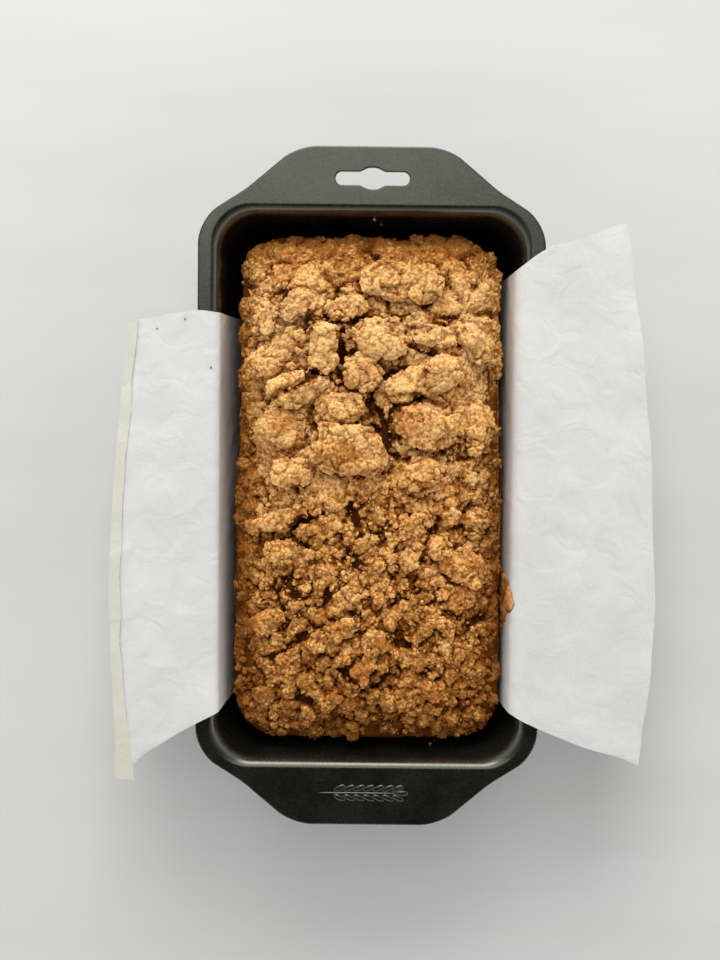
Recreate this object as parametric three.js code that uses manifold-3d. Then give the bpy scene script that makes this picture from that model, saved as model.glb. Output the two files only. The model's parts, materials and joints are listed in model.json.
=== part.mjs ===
// Apple crumb bread, baked in its loaf tin on a strip of baking parchment.
//
// The tin is one pressing of coated sheet steel: a tapered tub whose rim turns out into a flat
// flange, with a broad lug handle at each end and its outer edge turned down. A strip of
// parchment crosses the tub and hangs out over both long sides. The loaf fills the tub on top of
// it. Its domed crust carries a layer of crumb topping, and the larger crumbs are lumps of
// their own, baked onto that layer.
//
// Millimetres, +Z up. The origin is the middle of the tin's base, on the surface it stands on.
// +Y runs along the tin to the handle with the hanging slot.

import * as THREE from "three";
import { mergeVertices } from "three/addons/utils/BufferGeometryUtils.js";
import Module from "manifold-3d";

const wasm = await Module();
wasm.setup();

const GAP = 0.3; // between pieces that touch
const QUARTER_TURN = Math.PI / 2;

// ---- Driving dimensions -------------------------------------------------------------------

const TIN = {
  height: 66,
  sheet: 0.8,
  base: { x: 108, y: 210, corner: 11 }, // between the inner faces, where the walls meet the base
  mouth: { x: 126, y: 228, corner: 14 }, // between the inner faces, where the rim starts to turn
  baseTurn: 7, // inner radius where the base turns up
  rimTurn: 2.5, // inner radius where the wall turns out
  edgeDrop: 3, // depth of the turned-down edge
  edgeRound: 0.8,
};

// Corners of the flange seen from above, for the quarter at +X +Y, each with its radius: the
// flange's own corner, the hollow of the handle's flank, and the handle's shoulder.
const FLANGE_CORNERS = [
  { x: 72, y: 111.3, radius: 18 },
  { x: 52, y: 124, radius: 40 },
  { x: 31, y: 141.7, radius: 22 },
];

// The slot to hang the tin by, wider in the middle for a hook. It is cut in the +Y handle.
const HANGING_SLOT = { y: 128.5, length: 30.6, width: 5.5, eyeWidth: 8.8, eyeFoot: 10.4, eyeTop: 3.6 };

const PARCHMENT = {
  thickness: 0.4,
  // Where the strip turns out over each rim: centre and radius of the bend. At -X it lies on
  // the rim, at +X it stands off it.
  bend: {
    left: { x: 65.5, z: 63.5, radius: 3.1, droop: 3 },
    right: { x: 67.6, z: 61, radius: 8.5, droop: 5 },
  },
  // How far out each flap reaches, at even steps from the strip's near end to its far end.
  reach: {
    left: [105, 108.5, 109, 106, 101],
    right: [114, 119.5, 119.5, 116, 105],
  },
  sag: { left: 3.5, right: 5 }, // how far a flap's outer edge hangs below its straight line
  // The strip's two torn ends as seen from above, from -X to +X.
  nearEnd: [[-109, -123], [-72, -99], [-57, -91], [57, -92], [72, -99.5], [115, -118]],
  farEnd: [[-102, 69], [-72, 74], [-58, 72], [57, 89], [72, 101], [105, 108.5]],
};

const LOAF = {
  floor: 2, // height of its underside, on the parchment
  bottom: { x: 105, y: 207, corner: 10 },
  shoulder: { x: 114, y: 215.5, corner: 19, z: 50 },
  crown: 63.5, // top of the crust in the middle, under the topping
  crustStep: 11, // size of the crust's facets
};

const TOPPING = {
  depth: 6.2, // in the middle of the loaf
  depthAtEdge: 3,
  lumpSize: 13,
  lumpHeight: 2.6,
  step: 7, // size of the relief's facets
};

// The larger crumbs: middle, length and width as seen from above, and the turn of the length
// from +X in degrees. They are largest and lie closest over the loaf's far half.
const CRUMBS = [
  { x: 12, y: 86, length: 38, width: 18, turn: -6 },
  { x: -12, y: 93, length: 19, width: 10, turn: 12 },
  { x: -30, y: 76, length: 17, width: 14, turn: 40 },
  { x: -10, y: 75, length: 20, width: 11, turn: 15 },
  { x: -45, y: 68, length: 17, width: 12, turn: 50 },
  { x: -38, y: 57, length: 33, width: 12, turn: 38 },
  { x: -19, y: 58, length: 23, width: 14, turn: 80 },
  { x: 3, y: 63, length: 29, width: 16, turn: -20 },
  { x: 26, y: 63, length: 20, width: 12, turn: 5 },
  { x: 43, y: 62, length: 18, width: 14, turn: -60 },
  { x: -4, y: 49, length: 21, width: 16, turn: -40 },
  { x: -30, y: 42, length: 30, width: 15, turn: 15 },
  { x: 22, y: 46, length: 36, width: 16, turn: 18 },
  { x: -11, y: 34, length: 24, width: 14, turn: 10 },
  { x: -36, y: 25, length: 24, width: 18, turn: -15 },
  { x: -9, y: 17, length: 33, width: 25, turn: -12 },
  { x: 22, y: 26, length: 30, width: 18, turn: -15 },
  { x: 45, y: 26, length: 22, width: 15, turn: 85 },
  { x: -32, y: 7, length: 17, width: 14, turn: 0 },
  { x: 20, y: 7, length: 18, width: 15, turn: 30 },
  { x: -33, y: -12, length: 40, width: 9, turn: 17 },
  { x: 44, y: -14, length: 16, width: 13, turn: 70 },
  { x: 37, y: -31, length: 30, width: 13, turn: -18 },
  { x: -35, y: -26, length: 17, width: 12, turn: 30 },
  { x: -41, y: -56, length: 16, width: 13, turn: 20 },
  { x: -15, y: -60, length: 23, width: 11, turn: 25 },
  { x: 3, y: -63, length: 16, width: 11, turn: 10 },
  { x: -3, y: -76, length: 14, width: 12, turn: 50 },
];
const CRUMB_RISE = 0.3; // height above its middle, as a share of its width
const CRUMB_ROUGHNESS = 0.15;
const CRUMB_SQUARENESS = 0.78; // 1 is an egg, less is blockier

// ---- Shapes -------------------------------------------------------------------------------

/** A closed three.js geometry as a manifold-3d solid. */
function solidOf(geometry) {
  const bare = geometry.index ? geometry.toNonIndexed() : geometry.clone();
  bare.deleteAttribute("normal");
  bare.deleteAttribute("uv");
  const merged = mergeVertices(bare, 1e-4);
  return new wasm.Manifold(
    new wasm.Mesh({
      numProp: 3,
      vertProperties: merged.attributes.position.array,
      triVerts: new Uint32Array(merged.index.array),
    }),
  );
}

/** A manifold-3d solid as a three.js geometry. */
function geometryOf(solid) {
  const mesh = solid.getMesh();
  const geometry = new THREE.BufferGeometry();
  geometry.setAttribute("position", new THREE.BufferAttribute(mesh.vertProperties, 3));
  geometry.setIndex(new THREE.BufferAttribute(mesh.triVerts, 1));
  geometry.computeVertexNormals();
  return geometry;
}

/** A closed outline, anticlockwise, with an arc of its own radius in place of each corner. */
function roundedOutline(corners, stepsPerArc) {
  return corners.flatMap((corner, i) => {
    const at = new THREE.Vector2(corner.x, corner.y);
    const previous = corners[(i + corners.length - 1) % corners.length];
    const next = corners[(i + 1) % corners.length];
    const back = new THREE.Vector2(previous.x, previous.y).sub(at).normalize();
    const ahead = new THREE.Vector2(next.x, next.y).sub(at).normalize();
    const halfAngle = Math.acos(THREE.MathUtils.clamp(back.dot(ahead), -1, 1)) / 2;
    const middle = back.clone().add(ahead).normalize();
    const centre = at.clone().addScaledVector(middle, corner.radius / Math.sin(halfAngle));
    const start = at.clone().addScaledVector(back, corner.radius / Math.tan(halfAngle));
    const left = back.cross(ahead) < 0; // the outline turns left here
    const sweep = (Math.PI - 2 * halfAngle) * (left ? 1 : -1);
    const spoke = start.sub(centre);
    return Array.from({ length: stepsPerArc + 1 }, (_, step) =>
      spoke.clone().rotateAround(new THREE.Vector2(), (sweep * step) / stepsPerArc).add(centre),
    );
  });
}

/** The outline moved inwards by a small distance. */
function inset(outline, distance) {
  return outline.map((point, i) => {
    const before = outline[(i + outline.length - 1) % outline.length];
    const after = outline[(i + 1) % outline.length];
    const along = after.clone().sub(before).normalize();
    return new THREE.Vector2(point.x - along.y * distance, point.y + along.x * distance);
  });
}

/** A plate of that outline between two heights. */
function plate(outline, low, high, round = 0) {
  const geometry = new THREE.ExtrudeGeometry(new THREE.Shape(outline), {
    depth: high - low - 2 * round,
    bevelEnabled: round > 0,
    bevelThickness: round,
    bevelSize: round,
    bevelOffset: -round,
    bevelSegments: 2,
  });
  return solidOf(geometry.translate(0, 0, low + round));
}

/** A rounded rectangle at one height, from its half sizes. */
function ring(halfX, halfY, corner, z) {
  const corners = [[1, -1], [1, 1], [-1, 1], [-1, -1]].map(([sideX, sideY]) => ({
    x: sideX * halfX,
    y: sideY * halfY,
    radius: corner,
  }));
  return roundedOutline(corners, 6).map((point) => new THREE.Vector3(point.x, point.y, z));
}

/** A closed solid over rings of equally many points, one above the other, flat at both ends. */
function skin(rings) {
  const count = rings[0].length;
  const top = (rings.length - 1) * count;
  const faces = [];
  for (let low = 0; low < top; low += count) {
    for (let i = 0; i < count; i++) {
      const a = low + i;
      const b = low + ((i + 1) % count);
      faces.push(a, b, b + count, a, b + count, a + count);
    }
  }
  for (let i = 1; i + 1 < count; i++) {
    faces.push(0, i + 1, i, top, top + i, top + i + 1);
  }
  const geometry = new THREE.BufferGeometry().setFromPoints(rings.flat());
  return solidOf(geometry.setIndex(faces));
}

/** Everything under a surface, down to below the tin. */
function under(heightAt, step) {
  const length = TIN.mouth.y;
  const width = TIN.mouth.x;
  const depth = 10;
  const box = new THREE.BoxGeometry(
    width, length, 1, Math.round(width / step), Math.round(length / step), 1,
  );
  const points = box.attributes.position;
  for (let i = 0; i < points.count; i++) {
    const isTop = points.getZ(i) > 0;
    points.setZ(i, isTop ? heightAt(points.getX(i), points.getY(i)) : -depth);
  }
  return solidOf(box);
}

/** A repeatable number from 0 to 1 for each cell of a grid. */
function chance(column, row, salt) {
  let mixed = Math.imul(column, 374761393) + Math.imul(row, 668265263) + Math.imul(salt, 974634777);
  mixed = Math.imul(mixed ^ (mixed >>> 13), 1274126177);
  return ((mixed ^ (mixed >>> 16)) >>> 0) / 4294967296;
}

/** Rounded lumps side by side: 1 in the middle of a lump, 0 in the creases between them. */
function lumps(x, y, size) {
  const column = Math.floor(x / size);
  const row = Math.floor(y / size);
  const distances = [];
  for (let i = column - 1; i <= column + 1; i++) {
    for (let j = row - 1; j <= row + 1; j++) {
      const lumpX = (i + 0.15 + 0.7 * chance(i, j, 1)) * size;
      const lumpY = (j + 0.15 + 0.7 * chance(i, j, 2)) * size;
      distances.push(Math.hypot(x - lumpX, y - lumpY));
    }
  }
  distances.sort((a, b) => a - b);
  return Math.min(1, (1.6 * (distances[1] - distances[0])) / size);
}

// ---- Tin ----------------------------------------------------------------------------------

/** Half sizes and corner radius of the tin's inner face at a height, rounded ends left out. */
function wallAt(z) {
  const share = z / (TIN.height - TIN.rimTurn);
  return {
    x: THREE.MathUtils.lerp(TIN.base.x, TIN.mouth.x, share) / 2,
    y: THREE.MathUtils.lerp(TIN.base.y, TIN.mouth.y, share) / 2,
    corner: THREE.MathUtils.lerp(TIN.base.corner, TIN.mouth.corner, share),
  };
}

/** Heights and insets of the round from the base into the wall, `stand` inside the inner face. */
function baseRound(stand, steps) {
  const radius = TIN.baseTurn - stand;
  return Array.from({ length: steps + 1 }, (_, i) => {
    const angle = (QUARTER_TURN * i) / steps;
    return {
      z: TIN.sheet + stand + radius * (1 - Math.cos(angle)),
      inset: stand + radius * (1 - Math.sin(angle)),
    };
  });
}

/** The tub's inner face, or its outer face with `stand` at minus the sheet's thickness. */
function tub(stand) {
  const turn = TIN.rimTurn + stand;
  const top = TIN.height + stand;
  const profile = baseRound(stand, 4);
  for (let i = 0; i <= 4; i++) {
    const angle = (QUARTER_TURN * i) / 4;
    profile.push({ z: top - turn + turn * Math.sin(angle), inset: stand - turn * (1 - Math.cos(angle)) });
  }
  const above = TIN.sheet / 2; // the outer face ends inside the flange, the inner one above it
  profile.push({ z: top + above, inset: profile.at(-1).inset });
  return skin(
    profile.map((point) => {
      const wall = wallAt(Math.min(point.z, TIN.height - TIN.rimTurn));
      const corner = wall.corner - point.inset;
      return ring(wall.x - point.inset, wall.y - point.inset, corner, point.z);
    }),
  );
}

/** The flange with both lug handles and its turned-down edge. */
function flange() {
  const quarters = [
    FLANGE_CORNERS,
    FLANGE_CORNERS.map((c) => ({ ...c, x: -c.x })).reverse(),
    FLANGE_CORNERS.map((c) => ({ ...c, x: -c.x, y: -c.y })),
    FLANGE_CORNERS.map((c) => ({ ...c, y: -c.y })).reverse(),
  ];
  const outline = roundedOutline(quarters.flat(), 5);
  const low = TIN.height - TIN.edgeDrop;
  const whole = plate(outline, low, TIN.height, TIN.edgeRound);
  const hollow = plate(inset(outline, TIN.sheet), low - 1, TIN.height - TIN.sheet);
  return whole.subtract(hollow);
}

function hangingSlot() {
  const { y, length, width, eyeWidth, eyeFoot, eyeTop } = HANGING_SLOT;
  const upper = [
    { x: length / 2, y: width / 2, radius: width / 2 - 0.01 },
    { x: eyeFoot / 2, y: width / 2, radius: 2 },
    { x: eyeTop / 2, y: eyeWidth / 2, radius: 2.4 },
  ];
  const corners = [
    ...upper,
    ...upper.map((c) => ({ ...c, x: -c.x })).reverse(),
    ...upper.map((c) => ({ ...c, x: -c.x, y: -c.y })),
    ...upper.map((c) => ({ ...c, y: -c.y })).reverse(),
  ];
  return plate(roundedOutline(corners, 4), TIN.height - 5, TIN.height + 5).translate([0, y, 0]);
}

function loafTin() {
  return flange().add(tub(-TIN.sheet)).subtract(tub(0)).subtract(hangingSlot());
}

// ---- Parchment ----------------------------------------------------------------------------

/** Value of a broken line of [x, value] pairs at x. */
function along(line, x) {
  const beyond = line.filter(([at]) => at > x).length;
  const i = THREE.MathUtils.clamp(line.length - beyond, 1, line.length - 1);
  const [x0, value0] = line[i - 1];
  const [x1, value1] = line[i];
  return value0 + ((value1 - value0) * (x - x0)) / (x1 - x0);
}

/** The strip's middle line on one side, from the tin's base out to the flap's edge, at +X. */
function parchmentPath(bend, reach, sag) {
  const stand = GAP + PARCHMENT.thickness / 2;
  const path = baseRound(stand, 4).map(
    (point) => new THREE.Vector2(wallAt(point.z).x - point.inset, point.z),
  );
  const lean = Math.atan2(TIN.mouth.x - TIN.base.x, 2 * (TIN.height - TIN.rimTurn));
  const droop = THREE.MathUtils.degToRad(bend.droop);
  const centre = new THREE.Vector2(bend.x, bend.z);
  const turns = 4;
  const start = new THREE.Vector2(-Math.cos(lean), Math.sin(lean)).multiplyScalar(bend.radius).add(centre);
  path.push(path.at(-1).clone().lerp(start, 1 / 3), path.at(-1).clone().lerp(start, 2 / 3));
  for (let i = 0; i <= turns; i++) {
    const angle = THREE.MathUtils.lerp(Math.PI - lean, QUARTER_TURN - droop, i / turns);
    const spoke = new THREE.Vector2(Math.cos(angle), Math.sin(angle)).multiplyScalar(bend.radius);
    path.push(spoke.add(centre));
  }
  const from = path.at(-1);
  const steps = 6;
  for (let i = 1; i <= steps; i++) {
    const out = ((reach - from.x) * i) / steps;
    const share = i / steps;
    path.push(new THREE.Vector2(from.x + out, from.y - out * Math.tan(droop) - sag * share * share));
  }
  return path;
}

/** The strip of parchment: a grid of points along the path and across the strip, with thickness. */
function parchment() {
  const { bend, reach, sag, thickness, nearEnd, farEnd } = PARCHMENT;
  const rows = 6;
  const leftReach = new THREE.SplineCurve(reach.left.map((r, i) => new THREE.Vector2(i, r)));
  const rightReach = new THREE.SplineCurve(reach.right.map((r, i) => new THREE.Vector2(i, r)));
  const faces = [[], []];
  for (let row = 0; row <= rows; row++) {
    const share = row / rows;
    const left = parchmentPath(bend.left, leftReach.getPoint(share).y, sag.left);
    const right = parchmentPath(bend.right, rightReach.getPoint(share).y, sag.right);
    const path = [...left.reverse().map((p) => new THREE.Vector2(-p.x, p.y)), ...right];
    path.forEach((point, i) => {
      const ahead = path[Math.min(i + 1, path.length - 1)];
      const behind = path[Math.max(i - 1, 0)];
      const way = ahead.clone().sub(behind).normalize().multiplyScalar(thickness / 2);
      const y = THREE.MathUtils.lerp(along(nearEnd, point.x), along(farEnd, point.x), share);
      faces[0].push(new THREE.Vector3(point.x + way.y, y, point.y - way.x));
      faces[1].push(new THREE.Vector3(point.x - way.y, y, point.y + way.x));
    });
  }
  const columns = faces[0].length / (rows + 1);
  return solidOf(thickGrid(faces[0], faces[1], columns, rows + 1));
}

/** A closed sheet between two grids of points, the first underneath. */
function thickGrid(lower, upper, columns, rows) {
  const indices = [];
  const quad = (a, b, c, d) => indices.push(a, b, c, a, c, d);
  const above = lower.length;
  for (let row = 0; row + 1 < rows; row++) {
    for (let column = 0; column + 1 < columns; column++) {
      const a = row * columns + column;
      const b = a + 1;
      const c = b + columns;
      const d = a + columns;
      quad(a, d, c, b);
      quad(above + a, above + b, above + c, above + d);
    }
  }
  for (let column = 0; column + 1 < columns; column++) {
    const near = column;
    const far = (rows - 1) * columns + column;
    quad(near, near + 1, above + near + 1, above + near);
    quad(far + 1, far, above + far, above + far + 1);
  }
  for (let row = 0; row + 1 < rows; row++) {
    const left = row * columns;
    const right = left + columns - 1;
    quad(left + columns, left, above + left, above + left + columns);
    quad(right, right + columns, above + right + columns, above + right);
  }
  return new THREE.BufferGeometry().setFromPoints([...lower, ...upper]).setIndex(indices);
}

// ---- Loaf and topping ---------------------------------------------------------------------

/** How far a place is in from the loaf's edge: 1 over the middle, 0 at the shoulders. */
function doming(x, y) {
  const across = Math.min(1, Math.abs(x) / (LOAF.shoulder.x / 2));
  const lengthwise = Math.min(1, Math.abs(y) / (LOAF.shoulder.y / 2));
  return ((1 - across ** 3) * (1 - lengthwise ** 7)) ** 0.75;
}

/** Height of the crust under the topping. */
function crustAt(x, y) {
  const edge = LOAF.shoulder.z - TOPPING.depthAtEdge;
  return THREE.MathUtils.lerp(edge, LOAF.crown, doming(x, y));
}

/** Height of the topping, with its lumps. */
function toppingAt(x, y) {
  const depth = THREE.MathUtils.lerp(TOPPING.depthAtEdge, TOPPING.depth, doming(x, y));
  const relief = TOPPING.lumpHeight * (lumps(x, y, TOPPING.lumpSize) - 0.5);
  return crustAt(x, y) + depth + relief * doming(x, y);
}

/** The inside of the tin as the loaf fills it, higher than the loaf. */
function loafBlock() {
  const { floor, bottom, shoulder } = LOAF;
  const turn = TIN.baseTurn - floor;
  const rings = [];
  for (let i = 0; i <= 3; i++) {
    const angle = (QUARTER_TURN * i) / 3;
    const drawn = turn * (1 - Math.sin(angle));
    const z = floor + turn * (1 - Math.cos(angle));
    rings.push(ring(bottom.x / 2 - drawn, bottom.y / 2 - drawn, bottom.corner, z));
  }
  for (const z of [shoulder.z, TIN.height + 20]) {
    rings.push(ring(shoulder.x / 2, shoulder.y / 2, shoulder.corner, z));
  }
  return skin(rings);
}

/** One large crumb: a rough egg shape, longer than it is wide. */
function crumbLump({ x, y, length, width, turn }, index) {
  const geometry = new THREE.SphereGeometry(1, 9, 5).rotateX(QUARTER_TURN);
  const points = geometry.attributes.position;
  const blocky = (value) => Math.sign(value) * Math.abs(value) ** CRUMB_SQUARENESS;
  for (let i = 0; i < points.count; i++) {
    const [px, py, pz] = [points.getX(i), points.getY(i), points.getZ(i)];
    const bumps = Math.sin(3.1 * px + 2 * index) + Math.sin(4.3 * py + index) * Math.cos(3.7 * pz);
    const swell = 1 + (CRUMB_ROUGHNESS / 2) * bumps;
    points.setXYZ(i, swell * blocky(px), swell * blocky(py), swell * blocky(pz));
  }
  geometry.scale(length / 2, width / 2, width * CRUMB_RISE);
  geometry.rotateZ(THREE.MathUtils.degToRad(turn)).translate(x, y, toppingAt(x, y) + 1);
  return solidOf(geometry);
}

/** The largest of the bodies that a cut has left. */
function largestBody(solid) {
  return solid.decompose().reduce((most, body) => (body.volume() > most.volume() ? body : most));
}

/** The large crumbs, each resting on the topping and cut back from the ones before it. */
function crumbs(toppingSolid) {
  const bed = toppingSolid.translate([0, 0, GAP]);
  const made = [];
  CRUMBS.forEach((crumb, i) => {
    let lump = crumbLump(crumb, i).subtract(bed);
    for (let earlier = 0; earlier < i; earlier++) {
      const { length, width } = CRUMBS[earlier];
      const grown = { ...CRUMBS[earlier], length: length + 3 * GAP, width: width + 3 * GAP };
      lump = lump.subtract(crumbLump(grown, earlier));
    }
    made.push(largestBody(lump));
  });
  return made;
}

// ---- Object -------------------------------------------------------------------------------

const coatedSteel = new THREE.MeshStandardMaterial({ color: 0x35362f, roughness: 0.42, metalness: 0.5 });
const bakingPaper = new THREE.MeshStandardMaterial({ color: 0xe4e3df, roughness: 0.7, metalness: 0 });
const crust = new THREE.MeshStandardMaterial({ color: 0x8a5a2c, roughness: 0.85, metalness: 0 });
const topping = new THREE.MeshStandardMaterial({ color: 0xb98748, roughness: 0.9, metalness: 0 });
const bigCrumb = new THREE.MeshStandardMaterial({ color: 0xcf9c58, roughness: 0.9, metalness: 0 });

const object = new THREE.Group();

/** Adds one piece of the object as a named mesh. */
function addPiece(name, solid, material) {
  const mesh = new THREE.Mesh(geometryOf(solid), material);
  mesh.name = name;
  object.add(mesh);
}

const block = loafBlock();
const underTopping = under(toppingAt, TOPPING.step);
const underCrust = under(crustAt, LOAF.crustStep);

addPiece("loaf_tin", loafTin(), coatedSteel);
addPiece("parchment", parchment(), bakingPaper);
addPiece("loaf", block.intersect(underCrust), crust);
addPiece(
  "crumb_topping",
  block.intersect(underTopping).subtract(underCrust.translate([0, 0, GAP])),
  topping,
);
crumbs(underTopping).forEach((solid, i) => {
  addPiece(`large_crumb_${String(i + 1).padStart(2, "0")}`, solid, bigCrumb);
});

export default object;
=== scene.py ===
import json
import math
import random

import bmesh
import bpy
import numpy as np
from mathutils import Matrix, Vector, noise
from mathutils.bvhtree import BVHTree
from mathutils.kdtree import KDTree

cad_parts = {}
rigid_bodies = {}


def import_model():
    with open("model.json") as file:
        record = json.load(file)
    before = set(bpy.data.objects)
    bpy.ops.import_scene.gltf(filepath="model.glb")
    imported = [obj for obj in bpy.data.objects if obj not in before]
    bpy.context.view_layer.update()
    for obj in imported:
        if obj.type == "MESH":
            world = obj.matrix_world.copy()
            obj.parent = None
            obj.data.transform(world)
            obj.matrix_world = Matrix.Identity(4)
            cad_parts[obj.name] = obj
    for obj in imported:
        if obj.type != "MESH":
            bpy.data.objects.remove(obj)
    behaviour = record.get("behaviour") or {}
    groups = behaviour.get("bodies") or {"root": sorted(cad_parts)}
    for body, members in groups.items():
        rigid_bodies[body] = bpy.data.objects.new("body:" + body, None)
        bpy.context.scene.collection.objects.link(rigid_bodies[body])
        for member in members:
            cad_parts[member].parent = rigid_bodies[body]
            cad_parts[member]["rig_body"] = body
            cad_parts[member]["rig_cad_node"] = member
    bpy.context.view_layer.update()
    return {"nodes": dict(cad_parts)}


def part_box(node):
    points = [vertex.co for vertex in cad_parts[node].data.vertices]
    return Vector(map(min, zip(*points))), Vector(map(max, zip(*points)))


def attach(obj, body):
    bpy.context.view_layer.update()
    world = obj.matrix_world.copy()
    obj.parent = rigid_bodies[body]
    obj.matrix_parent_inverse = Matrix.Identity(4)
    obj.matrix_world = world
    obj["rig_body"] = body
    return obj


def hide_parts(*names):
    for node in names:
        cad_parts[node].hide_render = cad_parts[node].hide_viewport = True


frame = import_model()


# ---- Camera -------------------------------------------------------------------------------
# It looks straight down on the open tin from about arm's length, turned a touch and leaning
# a little towards the handle with the hanging slot.

MM = 0.001
CAMERA_DISTANCE = 0.6
CAMERA_LENS = 54
CAMERA_LEAN = math.radians(3.0)
CAMERA_TURN = math.radians(0.65)
CAMERA_AIM = Vector((-4.2 * MM, 4.0 * MM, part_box("loaf_tin")[1].z))

bpy.ops.object.camera_add(
    location=CAMERA_AIM + CAMERA_DISTANCE * Vector((0, math.sin(CAMERA_LEAN), math.cos(CAMERA_LEAN))),
    rotation=(-CAMERA_LEAN, 0, CAMERA_TURN),
)
camera = bpy.context.object
camera.name = "camera_above"
camera.data.lens = CAMERA_LENS
bpy.context.scene.camera = camera


# ---- Worktop and light --------------------------------------------------------------------
# A plain pale board fills the view. A large soft light stands beyond the slotted handle, a
# little to the left, a weaker one hangs over it, and pale walls light the rest from all round.

def only(*pieces):
    """Makes these objects the whole selection, with the first one active."""
    bpy.ops.object.select_all(action="DESELECT")
    for piece in pieces:
        piece.select_set(True)
    bpy.context.view_layer.objects.active = pieces[0]


def add_node(tree, kind, inputs=None, **settings):
    """Adds a shader node. An input is given a value, or is linked where a socket is given."""
    node = tree.nodes.new(kind)
    for name, value in settings.items():
        setattr(node, name, value)
    for name, value in (inputs or {}).items():
        if isinstance(value, bpy.types.NodeSocket):
            tree.links.new(value, node.inputs[name])
        else:
            node.inputs[name].default_value = value
    return node


def ramp(tree, factor, stops):
    """The colour of a ramp of (position, colour) stops at a factor."""
    node = add_node(tree, "ShaderNodeValToRGB", {"Fac": factor})
    elements = node.color_ramp.elements
    while len(elements) < len(stops):
        elements.new(0.5)
    for element, (position, colour) in zip(elements, stops):
        element.position = position
        element.color = (*colour, 1)
    return node.outputs["Color"]


def level(tree, value, low, high, to_low=0.0, to_high=1.0):
    """A value brought from one range to another, and kept in it."""
    inputs = {"Value": value, "From Min": low, "From Max": high, "To Min": to_low, "To Max": to_high}
    return add_node(tree, "ShaderNodeMapRange", inputs).outputs["Result"]


def mix(tree, factor, first, second):
    """The first colour, or the second where the factor is 1."""
    node = add_node(tree, "ShaderNodeMix", data_type="RGBA")
    for socket, value in zip((node.inputs[0], node.inputs[6], node.inputs[7]), (factor, first, second)):
        if isinstance(value, bpy.types.NodeSocket):
            tree.links.new(value, socket)
        else:
            socket.default_value = value if isinstance(value, (int, float)) else (*value, 1)
    return node.outputs[2]


def sums(tree, operation, first, second):
    """Arithmetic on two values."""
    return add_node(tree, "ShaderNodeMath", {0: first, 1: second}, operation=operation).outputs[0]


def cloud(tree, where, scale, detail, **more):
    """The values of a cloudy pattern. Further inputs, such as its roughness, are given by name."""
    inputs = {"Vector": where, "Scale": scale, "Detail": detail, **more}
    return add_node(tree, "ShaderNodeTexNoise", inputs).outputs[0]


def blend(tree, first, second, share):
    """Two patterns as one, where the first has that share and the second has the rest."""
    parts = [sums(tree, "MULTIPLY", first, share), sums(tree, "MULTIPLY", second, 1 - share)]
    return sums(tree, "ADD", *parts)


def bump(tree, height, strength, distance, **under):
    """A normal that follows a height, on top of another normal where one is given."""
    inputs = {"Height": height, "Strength": strength, "Distance": distance, **under}
    return add_node(tree, "ShaderNodeBump", inputs).outputs[0]


def new_material(name):
    """A material with its node tree, its shader and its Object coordinates."""
    material = bpy.data.materials.new(name)
    material.use_nodes = True
    tree = material.node_tree
    shader = tree.nodes["Principled BSDF"]
    where = add_node(tree, "ShaderNodeTexCoord").outputs["Object"]
    return material, tree, shader, where


def copy_of(node_name, name):
    """A free copy of a CAD node, joined up, as the only object selected."""
    only(frame["nodes"][node_name])
    bpy.ops.object.duplicate()
    piece = bpy.context.object
    piece.name = name
    piece.parent = None
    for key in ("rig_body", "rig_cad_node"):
        del piece[key]
    bpy.ops.object.mode_set(mode="EDIT")
    bpy.ops.mesh.select_all(action="SELECT")
    bpy.ops.mesh.remove_doubles(threshold=0.01 * MM)
    bpy.ops.object.mode_set(mode="OBJECT")
    piece.data.materials.clear()
    return piece


BOARD_SIZE = 6.0
UNDER_BASE = 0.2 * MM  # how far the board lies below the tin, so that the two never touch
BOARD_PALE = (0.715, 0.705, 0.685)
BOARD_SHADE = (0.675, 0.665, 0.64)

bpy.ops.object.select_all(action="DESELECT")
bpy.ops.mesh.primitive_plane_add(size=BOARD_SIZE, location=(0, 0, -UNDER_BASE))
board = bpy.context.object
board.name = "worktop"
bpy.ops.object.transform_apply()

painted_board, tree, shader, where = new_material("pale_painted_board")
stretched = add_node(tree, "ShaderNodeMapping", {"Vector": where, "Scale": (1.2, 9, 1)})
strokes = cloud(tree, stretched.outputs[0], 3.0, 5.0)
shade = mix(tree, level(tree, strokes, 0.35, 0.7), BOARD_PALE, BOARD_SHADE)
tree.links.new(shade, shader.inputs["Base Color"])
shader.inputs["Roughness"].default_value = 0.6
board.data.materials.append(painted_board)

SOFT_LIGHTS = [  # name, place, size and power
    ("window_light", (-0.10, 1.45, 1.02), 0.95, 20),
    ("ceiling_light", (-0.10, 0.70, 1.75), 0.95, 6.6),
]
ROOM_COLOUR = (0.95, 0.975, 1.0)
ROOM_OVERHEAD = 0.02
ROOM_ROUND = 1.95

for name, at, size, power in SOFT_LIGHTS:
    towards_tin = (-Vector(at)).to_track_quat("-Z", "Y").to_euler()
    bpy.ops.object.light_add(type="AREA", location=at, rotation=towards_tin)
    light = bpy.context.object
    light.name = name
    light.data.shape = "SQUARE"
    light.data.size = size
    light.data.energy = power
room = bpy.data.worlds.new("room")
bpy.context.scene.world = room
room.use_nodes = True
tree = room.node_tree
direction = add_node(tree, "ShaderNodeTexCoord").outputs["Generated"]
height = add_node(tree, "ShaderNodeSeparateXYZ", {"Vector": direction}).outputs["Z"]
sky = tree.nodes["Background"]
sky.inputs["Color"].default_value = (*ROOM_COLOUR, 1)
tree.links.new(level(tree, height, 0.9, 0.1, ROOM_OVERHEAD, ROOM_ROUND), sky.inputs["Strength"])
bpy.context.scene.view_settings.view_transform = "Standard"


# ---- Loaf tin -----------------------------------------------------------------------------
# One pressing of thin steel sheet with a dark, slightly greenish non-stick coating. The tub
# tapers to its base, steps out just under the rim, and the flat rim widens into a lug handle
# at each end. The outer edge is turned down, and the far handle has a slot to hang the tin by.

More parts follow.
